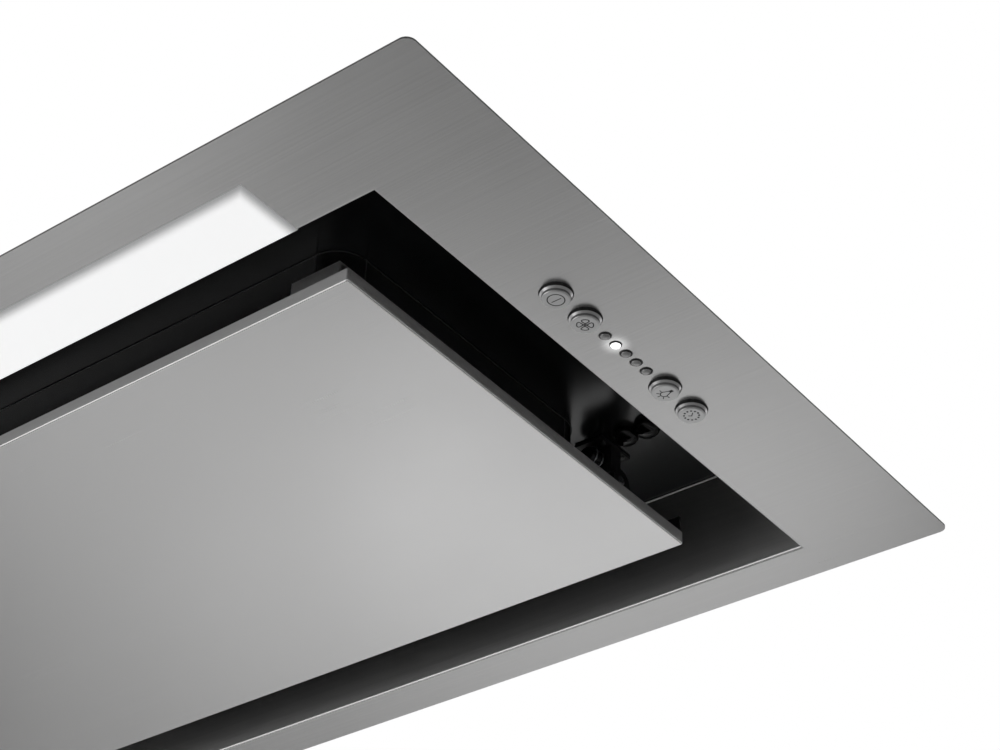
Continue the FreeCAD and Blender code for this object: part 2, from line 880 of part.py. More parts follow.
# Box above the ceiling: shell over the long sides, two ends with flanges, screws
casing_screw_z = [plate_high + (body_height - plate_high) * share for share in casing_screw_shares]
casing_screws = []
for z in casing_screw_z:
    for x in (end_flange / 2 - throat_x, throat_x - end_flange / 2):
        casing_screws.append((Vec(x, wall_front, z), ALONG_Y))
        casing_screws.append((Vec(x, wall_back, z), ALONG_Y * -1))
casing_holes = [screw_hole(seat, axis, screw_length) for seat, axis in casing_screws]
post_points = [(blower_x + scroll_start * x, blower_y + scroll_start * y) for x, y in post_shares]


def make_shell():
    roof = block(-wall_x, wall_x, wall_front, wall_back, shell_low, body_height)
    sides = []
    for y0, y1, lip in ((wall_front, throat_front, -lip_width), (throat_back, wall_back, lip_width)):
        sides.append(block(-wall_x, wall_x, y0, y1, plate_high, shell_low))
        sides.append(block(-wall_x, wall_x, min(y0, y0 + lip), max(y1, y1 + lip), plate_high, seam_high))
    cuts = casing_holes + seam_holes(plate_high - over, seam_high + over)
    for x, y in post_points:
        cuts.append(screw_hole(Vec(x, y, shell_low), UP, body_sheet))
    return roof.fuse(sides).cut(cuts).removeSplitter()


def hanger_screw_seats():
    seats = []
    for y in hanger_y:
        for side in (-hanger_screw_half, hanger_screw_half):
            seats.append(Vec(wall_x + hanger_sheet, y + side, body_height - hanger_screw_drop))
    return seats


def make_end():
    wall = block(throat_x, wall_x, throat_front, throat_back, plate_high, shell_low)
    lip = block(throat_x, wall_x + lip_width, throat_front, throat_back, plate_high, seam_high)
    flanges = []
    for y0, y1 in ((throat_front, throat_front + body_sheet), (throat_back - body_sheet, throat_back)):
        low = plate_high + end_flange_inset
        flanges.append(block(throat_x - end_flange, throat_x, y0, y1, low, shell_low - end_flange_inset))
    cuts = casing_holes + seam_holes(plate_high - over, seam_high + over)
    cuts += [screw_hole(seat, ALONG_X * -1, screw_length) for seat in hanger_screw_seats()]
    return wall.fuse([lip] + flanges).cut(cuts).removeSplitter()


terminal_seats = [
    Vec(wall_x, terminal_y + side * (terminal_half_length - terminal_screw_inset), z)
    for side in (-1, 1)
    for z in (terminal_low + terminal_screw_inset, terminal_high - terminal_screw_inset)
]
spigot_seats = []
for step in range(4):
    turn = math.radians(45 + 90 * step)
    reach = Vec(0, spigot_screw_ring * math.cos(turn), spigot_screw_ring * math.sin(turn))
    spigot_seats.append(Vec(-wall_x - spigot_flange_height, outlet_y, outlet_z) + reach)

end = make_end()
outlet = drill(spigot_inner, Vec(-wall_x, outlet_y, outlet_z), ALONG_X, body_sheet)
spigot_holes = [screw_hole(seat, ALONG_X, screw_length) for seat in spigot_seats]
save("casing_shell", make_shell())
save("casing_end_right", end.cut([screw_hole(seat, ALONG_X * -1, screw_length) for seat in terminal_seats]))
save("casing_end_left", flipped(end).cut([outlet] + spigot_holes))


# Hanging brackets: four angles with holes for threaded rods
def make_hanger(y):
    y0 = y - hanger_half_width
    y1 = y + hanger_half_width
    leg = block(wall_x, wall_x + hanger_sheet, y0, y1, body_height - hanger_drop, body_height)
    ear = block(wall_x, wall_x + hanger_reach, y0, y1, body_height - hanger_sheet, body_height)
    hole = drill(hanger_hole, Vec(hanger_x, y, body_height - hanger_sheet), UP, hanger_sheet)
    cuts = [hole] + [screw_hole(seat, ALONG_X * -1, screw_length) for seat in hanger_screw_seats()]
    return leg.fuse(ear).cut(cuts)


hangers = [make_hanger(y) for y in hanger_y]
hanger_screws = [screw(seat, ALONG_X * -1, screw_length) for seat in hanger_screw_seats()]
save("hanger_brackets", Part.makeCompound(hangers + [flipped(shape) for shape in hangers]))
hanger_screws += [flipped(shape) for shape in hanger_screws]

# Blower housing: spiral wall between two plates, open to the outlet on the left end
mouth_x = -throat_x - blower_x
second = scroll_start + scroll_step
third = second + scroll_step


def scroll_path(grow):
    diagonal = math.sqrt(0.5)
    first = scroll_start + grow
    lip_y = tongue_y - grow
    lip_x = -math.sqrt(first ** 2 - lip_y ** 2)
    centre_two = Vec(0, scroll_step, 0)
    centre_three = Vec(-scroll_step, scroll_step, 0)
    crown = Vec(-scroll_step, crown_y + grow, 0)
    right = Vec(second + grow, scroll_step, 0)
    bottom = Vec(0, -first, 0)
    tongue = Vec(lip_x, lip_y, 0)
    half_turn = (math.pi * 1.5 + math.atan2(lip_y, lip_x)) / 2
    return [
        Part.makeLine(Vec(mouth_x, crown.y, 0), crown),
        Part.Arc(crown, centre_three + Vec(diagonal, diagonal, 0) * (third + grow), right).toShape(),
        Part.Arc(right, centre_two + Vec(diagonal, -diagonal, 0) * (second + grow), bottom).toShape(),
        Part.Arc(bottom, Vec(math.cos(half_turn), math.sin(half_turn), 0) * first, tongue).toShape(),
        Part.makeLine(tongue, Vec(mouth_x, lip_y, 0)),
    ]


def lifted(edges, z0, z1):
    wire = Part.Wire(Part.__sortEdges__(edges))
    face = Part.Face(wire)
    solid = face.extrude(UP * (z1 - z0))
    solid.translate(Vec(blower_x, blower_y, z0))
    return solid


def scroll_plate(z0, z1):
    edges = scroll_path(scroll_sheet)
    closing = Part.makeLine(edges[-1].Vertexes[-1].Point, edges[0].Vertexes[0].Point)
    return lifted(edges + [closing], z0, z1)


def make_scroll_wall():
    inner = scroll_path(0)
    outer = scroll_path(scroll_sheet)
    ends = [
        Part.makeLine(inner[0].Vertexes[0].Point, outer[0].Vertexes[0].Point),
        Part.makeLine(inner[-1].Vertexes[-1].Point, outer[-1].Vertexes[-1].Point),
    ]
    return lifted(inner + outer + ends, scroll_low + scroll_sheet, scroll_high - scroll_sheet)


axis_foot = Vec(blower_x, blower_y, 0)
motor_seats = []
for step in range(4):
    turn = math.radians(45 + 90 * step)
    reach = Vec(motor_screw_ring * math.cos(turn), motor_screw_ring * math.sin(turn), 0)
    motor_seats.append(axis_foot + reach + UP * (scroll_high + motor_flange_height))
motor_holes = [screw_hole(seat, UP * -1, screw_length) for seat in motor_seats]
bottom = scroll_plate(scroll_low, scroll_low + scroll_sheet)
bottom = bottom.cut(drill(inlet_radius, axis_foot + UP * scroll_low, UP, scroll_sheet))
inlet = tube(inlet_radius + scroll_sheet, inlet_radius, axis_foot + UP * scroll_low, UP, inlet_ring)
top = scroll_plate(scroll_high - scroll_sheet, scroll_high)
passage = drill(shaft_hole, axis_foot + UP * (scroll_high - scroll_sheet), UP, scroll_sheet)
save("scroll_wall", make_scroll_wall())
save("scroll_bottom", bottom.fuse(inlet).removeSplitter())
save("scroll_top", top.cut([passage] + motor_holes))


# Blower wheel: disc, hub, foot ring and curved blades
def make_blade():
    inner = wheel_radius - wheel_depth
    low = wheel_low + wheel_ring
    chord = Vec(wheel_depth, 0, 0)
    bulge = Vec(wheel_depth / 2, wheel_depth ** 2 / (8 * blade_curve), 0)
    thick = Vec(0, blade_sheet, 0)
    start = Vec(inner, 0, low)
    edges = [
        Part.Arc(start, start + bulge, start + chord).toShape(),
        Part.makeLine(start + chord, start + chord + thick),
        Part.Arc(start + chord + thick, start + bulge + thick, start + thick).toShape(),
        Part.makeLine(start + thick, start),
    ]
    return Part.Face(Part.Wire(edges)).extrude(UP * (wheel_high - wheel_disc - low))


def make_wheel():
    blade = make_blade()
    pieces = []
    for step in range(blade_count):
        turned = blade.copy()
        turned.rotate(Vec(0, 0, 0), UP, 360 * step / blade_count)
        pieces.append(turned)
    rim = wheel_radius + blade_sheet
    pieces.append(tube(rim, wheel_radius - wheel_depth / 2, UP * wheel_low, UP, wheel_ring))
    pieces.append(rod(hub_radius, UP * (wheel_high - hub_length), UP, hub_length))
    wheel = rod(rim, UP * (wheel_high - wheel_disc), UP, wheel_disc).fuse(pieces)
    wheel = wheel.cut(rod(shaft_radius + press_gap, UP * (wheel_low - over), UP, wheel_high))
    wheel.translate(axis_foot)
    return wheel


def make_motor():
    can = rod(motor_radius, axis_foot + UP * scroll_high, UP, motor_high - scroll_high)
    flange = rod(motor_flange, axis_foot + UP * scroll_high, UP, motor_flange_height)
    bore_depth = shaft_high + loose_gap - scroll_high
    bore_foot = axis_foot + UP * (scroll_high - over)
    bore = rod(shaft_radius + pin_gap, bore_foot, UP, bore_depth + over)
    return can.fuse(flange).cut([bore] + motor_holes).removeSplitter()


save("impeller", make_wheel())
save("motor_shaft", rod(shaft_radius, axis_foot + UP * shaft_low, UP, shaft_high - shaft_low))
save("motor_body", make_motor())
posts = []
post_screws = []
for x, y in post_points:
    post = rod(post_radius, Vec(x, y, scroll_high), UP, shell_low - scroll_high)
    socket = rod(screw_radius + screw_gap, Vec(x, y, shell_low - post_screw_depth), UP, post_screw_depth)
    posts.append(post.cut(socket))
    post_screws.append(screw(Vec(x, y, body_height), UP * -1, screw_length))
save("blower_posts", Part.makeCompound(posts))

# Duct outlet: flanged spigot with a ledge, upright pin and two half-round flaps
spigot_axis = Vec(-wall_x, outlet_y, outlet_z)
OUT = ALONG_X * -1
pin_x = -wall_x - ledge_offset - ledge_length - flap_pin_offset
pin_half = spigot_radius - spigot_wall / 2


def make_spigot():
    flange = rod(spigot_flange, spigot_axis, OUT, spigot_flange_height)
    pipe = rod(spigot_radius, spigot_axis, OUT, spigot_flange_height + spigot_length)
    bore = rod(spigot_inner, spigot_axis - OUT * over, OUT, spigot_flange_height + spigot_length + 2 * over)
    ledge_start = spigot_axis + OUT * ledge_offset
    ledge = tube(spigot_inner, spigot_inner - ledge_depth, ledge_start, OUT, ledge_length)
    pin_hole = rod(flap_pin_radius + press_gap, Vec(pin_x, outlet_y, outlet_z - pin_half), UP, 2 * pin_half)
    return flange.fuse(pipe).cut([bore] + spigot_holes).fuse(ledge).cut(pin_hole).removeSplitter()


def make_flap(side, first_slot):
    at = Vec(pin_x, outlet_y, outlet_z)
    disc = rod(spigot_inner - flap_gap, at - ALONG_X * (flap_sheet / 2), ALONG_X, flap_sheet)
    y0, y1 = sorted((outlet_y + flap_knuckle * side, outlet_y + spigot_radius * side))
    keep = block(pin_x - over, pin_x + over, y0, y1, outlet_z - spigot_radius, outlet_z + spigot_radius)
    leaf = disc.common(keep)
    knuckles = []
    for slot in range(first_slot, knuckle_count, 2):
        low = outlet_z + knuckle_length * (slot - knuckle_count / 2) + knuckle_gap
        length = knuckle_length - 2 * knuckle_gap
        knuckles.append(rod(flap_knuckle, Vec(pin_x, outlet_y, low), UP, length))
        y0, y1 = sorted((outlet_y, outlet_y + side * (flap_knuckle + over)))
        knuckles.append(block(pin_x - flap_sheet / 2, pin_x + flap_sheet / 2, y0, y1, low, low + length))
    foot = Vec(pin_x, outlet_y, outlet_z - spigot_radius)
    hole = rod(flap_pin_radius + pin_gap, foot, UP, 2 * spigot_radius)
    flap = leaf.fuse(knuckles).cut(hole)
    return flap.removeSplitter()


save("duct_spigot", make_spigot())
save("flap_pin", rod(flap_pin_radius, Vec(pin_x, outlet_y, outlet_z - pin_half), UP, 2 * pin_half))
save("flap_back", make_flap(1, 0))
save("flap_front", make_flap(-1, 1))

# Supply connection: box on the right end with cover, gland, terminal strip and capacitor
terminal_front = terminal_y - terminal_half_length
terminal_back = terminal_y + terminal_half_length
terminal_z = (terminal_low + terminal_high) / 2
gland_x = wall_x + terminal_depth / 2
tray_depth = terminal_depth - terminal_wall


def make_terminal_box():
    box = block(wall_x, wall_x + tray_depth, terminal_front, terminal_back, terminal_low, terminal_high)
    hollow = block(
        wall_x + terminal_wall, wall_x + tray_depth + over, terminal_front + terminal_wall,
        terminal_back - terminal_wall, terminal_low + terminal_wall, terminal_high - terminal_wall
    )
    inlet = drill(gland_neck, Vec(gland_x, terminal_front, terminal_z), ALONG_Y, terminal_wall)
    cuts = [hollow, inlet] + [screw_hole(seat, ALONG_X, terminal_wall) for seat in terminal_seats]
    return box.cut(cuts)


def make_gland():
    outside = rod(gland_radius, Vec(gland_x, terminal_front, terminal_z), ALONG_Y * -1, gland_length)
    inside = rod(gland_neck - snug_gap, Vec(gland_x, terminal_front, terminal_z), ALONG_Y, gland_inner)
    bore_start = Vec(gland_x, terminal_front + gland_inner + over, terminal_z)
    bore = rod(gland_bore, bore_start, ALONG_Y * -1, gland_length + gland_inner + 2 * over)
    return outside.fuse(inside).cut(bore).removeSplitter()


def make_grommets():
    grommets = []
    for x, y in grommet_at:
        flange = rod(grommet_radius, Vec(x, y, plate_low - grommet_height), UP, grommet_height)
        neck = rod(grommet_neck, Vec(x, y, plate_low), UP, plate_sheet + grommet_height)
        dish = rod(grommet_dish, Vec(x, y, plate_low - grommet_height), UP, grommet_dish_depth)
        grommets.append(flange.fuse(neck).cut(dish).removeSplitter())
    return Part.makeCompound(grommets)


inner_wall = wall_x + terminal_wall
save("terminal_box", make_terminal_box())
cover = slab(
    wall_x + tray_depth, wall_x + terminal_depth, terminal_front, terminal_back,
    terminal_low, terminal_high, cover_round
)
save("terminal_cover", cover)
save("cable_gland", make_gland())
save(
    "terminal_block",
    block(
        inner_wall, inner_wall + strip_depth, terminal_y - strip_length / 2, terminal_y + strip_length / 2,
        terminal_z - strip_height / 2, terminal_z + strip_height / 2
    ),
)
save(
    "motor_capacitor",
    rod(capacitor_radius, Vec(wall_x - capacitor_inset, terminal_y, plate_high), UP, capacitor_length),
)
save("cable_grommets", make_grommets())

# Pan head screws: those on the outside in one group, those inside in another
outer_screws = [screw(seat, axis, screw_length) for seat, axis in casing_screws]
outer_screws += hanger_screws + post_screws
outer_screws += [screw(seat, ALONG_X, screw_length) for seat in spigot_seats]
inner_screws = [screw(seat, UP * -1, screw_length) for seat in motor_seats]
box_wall = ALONG_X * terminal_wall
inner_screws += [screw(seat + box_wall, ALONG_X * -1, screw_length) for seat in terminal_seats]
save("outer_screws", Part.makeCompound(outer_screws))
save("inner_screws", Part.makeCompound(inner_screws))
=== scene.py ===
import math

import bmesh
import bpy
from mathutils import Matrix, Vector


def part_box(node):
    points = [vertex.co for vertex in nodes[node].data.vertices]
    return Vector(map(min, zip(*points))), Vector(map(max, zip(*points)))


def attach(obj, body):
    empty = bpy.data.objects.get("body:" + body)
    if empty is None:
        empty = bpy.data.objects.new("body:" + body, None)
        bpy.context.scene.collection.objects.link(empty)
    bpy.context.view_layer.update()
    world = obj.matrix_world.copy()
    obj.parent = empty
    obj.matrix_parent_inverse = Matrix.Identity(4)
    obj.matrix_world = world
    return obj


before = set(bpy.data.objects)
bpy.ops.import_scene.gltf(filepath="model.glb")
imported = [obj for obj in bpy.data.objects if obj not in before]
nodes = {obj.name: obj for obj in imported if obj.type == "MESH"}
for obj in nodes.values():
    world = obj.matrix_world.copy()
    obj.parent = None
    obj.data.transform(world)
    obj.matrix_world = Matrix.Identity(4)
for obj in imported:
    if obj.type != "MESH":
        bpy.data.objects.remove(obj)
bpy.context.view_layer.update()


# Trim frame: one sheet of brushed stainless steel, 1.2 mm thick. The flange lies flat under the
# ceiling and the throat walls are folded up from it. The grain runs along the long side, and the
# sheared outer edge is painted dark and dull, as painted shade.
class Wire:
    """A socket of a shader tree. Python maths on it adds Math nodes, and make() adds any other node."""

    def __init__(self, tree, socket=None):
        self.tree = tree
        self.socket = socket

    def make(self, kind, settings=None, inputs=None, out=0):
        node = self.tree.nodes.new("ShaderNode" + kind)
        for name, value in (settings or {}).items():
            setattr(node, name, value)
        for name, value in (inputs or {}).items():
            if isinstance(value, Wire):
                self.tree.links.new(value.socket, node.inputs[name])
            else:
                node.inputs[name].default_value = value
        return Wire(self.tree, node.outputs[out])

    def math(self, operation, *values):
        return self.make("Math", {"operation": operation}, dict(enumerate(values)))

    def __add__(self, other):
        return self.math("ADD", self, other)

    __radd__ = __add__

    def __sub__(self, other):
        return self.math("SUBTRACT", self, other)

    def __rsub__(self, other):
        return self.math("SUBTRACT", other, self)

    def __mul__(self, other):
        return self.math("MULTIPLY", self, other)

    __rmul__ = __mul__

    def __truediv__(self, other):
        return self.math("DIVIDE", self, other)

    def __rtruediv__(self, other):
        return self.math("DIVIDE", other, self)

    def __gt__(self, other):
        return self.math("GREATER_THAN", self, other)

    def __lt__(self, other):
        return self.math("LESS_THAN", self, other)

    def __abs__(self):
        return self.math("ABSOLUTE", self)

    def larger(self, other):
        return self.math("MAXIMUM", self, other)

    def smaller(self, other):
        return self.math("MINIMUM", self, other)

    def clamp(self):
        return self.larger(0.0).smaller(1.0)

    def axis(self, letter):
        return self.make("SeparateXYZ", None, {0: self}, "XYZ".index(letter))

    def stretched(self, *scale):
        return self.make("VectorMath", {"operation": "MULTIPLY"}, {0: self, 1: scale})

    def distance(self, x, y, z):
        return self.make("VectorMath", {"operation": "DISTANCE"}, {0: self, 1: (x, y, z)}, 1)

    def noise(self, scale, detail=3.0, roughness=0.55):
        return self.make(
            "TexNoise", None, {"Vector": self, "Scale": scale, "Detail": detail, "Roughness": roughness}
        )

    def cells(self, scale, feature="F1", out=0):
        return self.make("TexVoronoi", {"feature": feature}, {"Vector": self, "Scale": scale}, out)

    def between(self, first, second):
        return self.make("Mix", {"data_type": "RGBA"}, {0: self, 6: first, 7: second}, 2)

    def bump(self, depth, strength=1.0):
        return self.make("Bump", None, {"Height": self, "Distance": depth, "Strength": strength})


def grey(level, warmth=0.0):
    return (level * (1 + warmth), level, level * (1 - warmth), 1.0)


def finish(name, **plain):
    """A new material with plain values set on its shader, and the place on the piece as a wire."""
    material = bpy.data.materials.new(name)
    material.use_nodes = True
    shader = material.node_tree.nodes["Principled BSDF"]
    for socket, value in plain.items():
        shader.inputs[socket.replace("_", " ")].default_value = value
    return material, Wire(material.node_tree).make("TexCoord", out="Object")


def feed(material, **wires):
    shader = material.node_tree.nodes["Principled BSDF"]
    for socket, wire in wires.items():
        material.node_tree.links.new(wire.socket, shader.inputs[socket.replace("_", " ")])
    return material


def coat(material, *names):
    for name in names:
        for slot in nodes[name].material_slots:
            slot.material = material


grain_along = 5.0
grain_across = 1000.0
flange_rim = 0.010
frame_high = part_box("trim_frame")[1]
lens_low, lens_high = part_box("indicator_lenses")
lens_count = 5
lit_lens = 1
lens_radius = (lens_high.x - lens_low.x) / 2
lens_pitch = (lens_high.y - lens_low.y - 2 * lens_radius) / (lens_count - 1)
lens_x = (lens_low.x + lens_high.x) / 2
lens_y = [lens_low.y + lens_radius + number * lens_pitch for number in range(lens_count)]
painted_glow_reach = 0.0105


def brushed_steel(name, dark, light, **plain):
    """Steel with fine grain along the sheet, upright on a wall at a short end. Walls are rougher.

    Gives the material, the place on the piece, where its surface faces, and the steel's colour.
    """
    material, place = finish(name, **plain)
    facing = place.make("TexCoord", out="Normal")
    along = place.stretched(grain_along, grain_across, grain_across).noise(1.0, 3.0, 0.6)
    upright = place.stretched(grain_across, grain_across, grain_along).noise(1.0, 3.0, 0.6)
    grain = along + (abs(facing.axis("X")) > 0.7) * (upright - along)
    haze = place.noise(6.0, 3.0, 0.6)
    wall = 1.0 - abs(facing.axis("Z"))
    feed(
        material,
        Roughness=0.25 + 0.08 * (grain - 0.5) + 0.06 * (haze - 0.5) + 0.24 * wall,
        Normal=grain.bump(0.00002, 0.5),
    )
    return material, place, facing, (0.7 * grain + 0.3 * haze).between(dark, light)


def frame_steel():
    """The sheared outer edge is painted dark as shade, and a small painted glow lies round the lit
    indicator.
    """
    material, place, facing, steel = brushed_steel(
        "frame_brushed_steel", grey(0.48, 0.004), grey(0.66, 0.004), Emission_Strength=0.95
    )
    past_x = abs(place.axis("X")) - (frame_high.x - flange_rim)
    past_y = abs(place.axis("Y")) - (frame_high.y - flange_rim)
    # The outer edge faces get a dark, hardly metallic colour: painted shade.
    edge = (past_x.larger(past_y) > 0.0) * (abs(facing.axis("Z")) < 0.5)
    # Emission on the steel round the lit indicator is a painted glow, not light from the lens.
    painted_glow = (1.0 - place.distance(lens_x, lens_y[lit_lens], 0.0) / painted_glow_reach).clamp()
    return feed(
        material,
        Base_Color=edge.between(steel, grey(0.05)),
        Emission_Color=(painted_glow * painted_glow).between(grey(0.0), grey(1.0)),
        Metallic=1.0 - 0.7 * edge,
    )


coat(frame_steel(), "trim_frame")


# Lamp strip: an opal plastic diffuser let into the front flange from above, lit by emitters on a
# long board in a folded zinc light box. The light fades towards the strip's ends and front.
lamp_low, lamp_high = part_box("lamp_diffuser")
lamp_shoulder = 0.004
lamp_fade = 0.0090
lamp_dim, lamp_bright = 0.12, 0.72


def opal_plastic():
    material, place = finish("opal_diffuser", Roughness=0.45, Emission_Strength=1.0)
    end = lamp_high.x - lamp_shoulder - abs(place.axis("X"))
    front = place.axis("Y") - (lamp_low.y + lamp_shoulder)
    edge = (end.smaller(front) / lamp_fade).clamp()
    glow = edge.make(
        "MapRange", {"interpolation_type": "SMOOTHSTEP"}, {0: edge, 3: lamp_dim, 4: lamp_bright}
    )
    speck = place.noise(900.0, 2.0)
    return feed(
        material,
        Base_Color=speck.between(grey(0.56, -0.01), grey(0.64, -0.01)),
        Emission_Color=glow.between(grey(0.0), grey(1.0)),
        Normal=speck.bump(0.00002, 0.2),
    )


def zinc_sheet():
    material, place = finish("zinc_sheet", Metallic=1.0)
    flakes = place.cells(95.0, out="Color").axis("X")
    haze = place.noise(14.0, 4.0)
    bloom = (0.7 * flakes + 0.3 * haze).clamp()
    return feed(
        material,
        Base_Color=bloom.between((0.42, 0.44, 0.45, 1), (0.62, 0.63, 0.64, 1)),
        Roughness=0.34 + 0.16 * flakes + 0.10 * (haze - 0.5),
        Normal=(flakes + haze).bump(0.00004, 0.3),
    )


def circuit_board():
    material, place = finish("circuit_board", Roughness=0.45)
    tracks = place.make(
        "TexBrick", {"offset": 0.5}, {"Vector": place, "Scale": 60.0, "Mortar Size": 0.04}, 1
    )
    return feed(
        material,
        Base_Color=tracks.between((0.02, 0.16, 0.07, 1), (0.05, 0.27, 0.12, 1)),
        Normal=tracks.bump(0.00003, 0.4),
    )


def emitter_resin():
    material, place = finish("emitter_resin", Roughness=0.3)
    grain = place.noise(1500.0)
    return feed(
        material,
        Base_Color=grain.between((0.75, 0.62, 0.18, 1), (0.90, 0.80, 0.36, 1)),
        Normal=grain.bump(0.00002),
    )


zinc = zinc_sheet()
board_green = circuit_board()
coat(opal_plastic(), "lamp_diffuser")
coat(zinc, "lamp_housing")
coat(board_green, "lamp_board", "control_board")
coat(emitter_resin(), "lamp_chips")


# Push buttons: four stepped metal caps with satin silver faces, side walls painted dull grey as
# shade and a band of painted shade at the foot, guided by a black moulded carrier. Each has a
# printed pictogram: on/off, fan, lamp and timer.
shaded_foot_level = -0.0024


def satin_metal():
    material, place = finish("button_satin_silver")
    blast = place.noise(2600.0, 2.0)
    wear = place.noise(60.0, 3.0)
    level = abs(place.make("TexCoord", out="Normal").axis("Z"))
    # Only flat faces are silver metal; side walls are painted dull grey and the foot dark, as painted
    # shade.
    flat_face = ((level - 0.25) * 3.0).clamp()
    shaded_foot = place.axis("Z") > shaded_foot_level
    silver = (0.5 * blast + 0.5 * wear).between(grey(0.52), grey(0.60))
    return feed(
        material,
        Base_Color=flat_face.between(shaded_foot.between(grey(0.17), grey(0.02)), silver),
        Metallic=flat_face,
        Roughness=0.42 - 0.12 * flat_face + 0.08 * (wear - 0.5),
        Normal=blast.bump(0.00001, 0.4),
    )


def moulded(name, dark, light, rough):
    material, place = finish(name)
    grain = place.noise(700.0, 2.0)
    wear = place.noise(35.0, 3.0)
    return feed(
        material,
        Base_Color=(0.5 * grain + 0.5 * wear).between(dark, light),
        Roughness=rough + 0.12 * (wear - 0.5),
        Normal=grain.bump(0.00003, 0.35),
    )


def bend(radius, start, end, steps, centre=(0.0, 0.0)):
    """Points on an arc, its start and end in degrees."""
    turns = [math.radians(start + (end - start) * i / steps) for i in range(steps + 1)]
    return [(centre[0] + radius * math.cos(t), centre[1] + radius * math.sin(t)) for t in turns]


def ring(radius, steps, centre=(0.0, 0.0)):
    return bend(radius, 0, 360 - 360 / steps, steps - 1, centre)


def onoff_sign():
    """Like the other signs, lines of points in millimetres, each with whether it closes."""
    return [(ring(4.6, 40), True), ([(-2.8, 0.3), (2.8, 0.3)], False)]


def fan_sign():
    lines = [(ring(0.6, 10), True)]
    for turn in (38, 128, 218, 308):
        blade = [(2.85 + 1.6 * x, 2.3 * y * (0.8 + 0.4 * x)) for x, y in ring(1.0, 16)]
        lines.append(([Matrix.Rotation(math.radians(turn), 2) @ Vector(p) for p in blade], True))
    return lines


def lamp_sign():
    bulb = bend(2.1, 52, 308, 18, (-0.9, 0.3))
    lines = [([(3.0, 0.8)] + bulb + [(3.0, -0.6)], True)]
    for x in (3.2, 3.7, 4.2, 4.7):
        lines.append(([(x, -0.6), (x, 0.7)], False))
    for turn in (82, 131, 180, 225, 270):
        lines.append(([bend(reach, turn, turn, 1, (-0.9, 0.3))[0] for reach in (2.9, 4.0)], False))
    return lines


def timer_sign():
    lines = [([(-1.2, -0.9), (0.1, 0.1), (2.1, -2.0)], False)]
    for x, y in ring(4.2, 12, (0.3, -0.3)):
        lines.append((ring(0.28, 6, (x, y)), True))
    return lines


print_width = 0.58
print_proud = 0.02
millimetre = 0.001


def print_stroke(bm, start, end):
    """One straight stroke of the print: a thin bar with its ends half a width beyond the points."""
    along = (end - start).normalized() * (print_width / 2)
    side = Vector((-along.y, along.x))
    corners = [start - along + side, start - along - side, end + along - side, end + along + side]
    low = [bm.verts.new((p.x, p.y, -print_proud)) for p in corners]
    high = [bm.verts.new((p.x, p.y, print_proud)) for p in corners]
    bm.faces.new(low[::-1])
    bm.faces.new(high)
    for i in range(4):
        j = (i + 1) % 4
        bm.faces.new((low[i], low[j], high[j], high[i]))


def mesh_object(name, bm, material):
    mesh = bpy.data.meshes.new(name)
    bm.to_mesh(mesh)
    bm.free()
    mesh.materials.append(material)
    made = bpy.data.objects.new(name, mesh)
    bpy.context.scene.collection.objects.link(made)
    return made


def new_piece(name, bm, material, body):
    bmesh.ops.recalc_face_normals(bm, faces=bm.faces)
    piece = mesh_object(name, bm, material)
    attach(piece, body)
    return piece


button_silver = satin_metal()
black_plastic = moulded("black_moulding", grey(0.012), grey(0.028), 0.42)
print_ink = moulded("pictogram_ink", grey(0.015), grey(0.035), 0.6)
signs = {"power": onoff_sign(), "fan": fan_sign(), "light": lamp_sign(), "timer": timer_sign()}
for name, lines in signs.items():
    low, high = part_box("button_" + name)
    bm = bmesh.new()
    for points, closed in lines:
        points = [Vector(p) for p in points]
        ends = points[1:] + points[:1] if closed else points[1:]
        for start, end in zip(points, ends):
            print_stroke(bm, start, end)
    middle = Vector(((low.x + high.x) / 2, (low.y + high.y) / 2, low.z))
    bm.transform(Matrix.Translation(middle) @ Matrix.Scale(millimetre, 4))
    new_piece("sign_" + name, bm, print_ink, name + "_button")
    coat(button_silver, "button_" + name)
coat(black_plastic, "control_carrier", "control_cover")


# Indicators: five light pipes of smoked plastic stand in the flange, each with a frosted domed
# tip. The second one is lit and shows the chosen blower speed.
tip_outline = ((0, -0.2), (2.7, -0.2), (2.7, 0), (2.5, 0.22), (2.0, 0.42), (1.1, 0.56), (0, 0.6))
upside_down = Matrix.Rotation(math.pi, 4, "X")


def frosted_tip(name, glow):
    material, place = finish(name, Metallic=0.8, Emission_Color=grey(1.0), Emission_Strength=glow)
    frost = place.noise(1200.0)
    return feed(
        material,
        Base_Color=frost.between(grey(0.32), grey(0.42)),
        Roughness=0.30 - 0.08 * frost,
        Normal=frost.bump(0.00002, 0.4),
    )


def in_metres(outline):
    return [(radius * millimetre, height * millimetre) for radius, height in outline]


def turned(bm, profile, place, sides=28):
    """A turned solid. The profile is (radius, height) from tip to tip, set in place by a matrix."""
    tips = [bm.verts.new(place @ Vector((0, 0, profile[i][1]))) for i in (0, -1)]
    rings = []
    for radius, height in profile[1:-1]:
        rings.append([bm.verts.new(place @ Vector((x, y, height))) for x, y in ring(radius, sides)])
    for i in range(sides):
        j = (i + 1) % sides
        bm.faces.new((tips[0], rings[0][j], rings[0][i]))
        bm.faces.new((tips[1], rings[-1][i], rings[-1][j]))
        for first, second in zip(rings, rings[1:]):
            bm.faces.new((first[i], first[j], second[j], second[i]))


dull_tip, bright_tip = frosted_tip("tip_unlit", 0.0), frosted_tip("tip_lit", 3.0)
for number, y in enumerate(lens_y):
    bm = bmesh.new()
    turned(bm, in_metres(tip_outline), Matrix.Translation((lens_x, y, lens_low.z)) @ upside_down)
    look = bright_tip if number == lit_lens else dull_tip
    new_piece("indicator_tip_%d" % number, bm, look, "hood").data.shade_smooth()
coat(moulded("smoked_plastic", grey(0.010), grey(0.016), 0.3), "indicator_lenses")


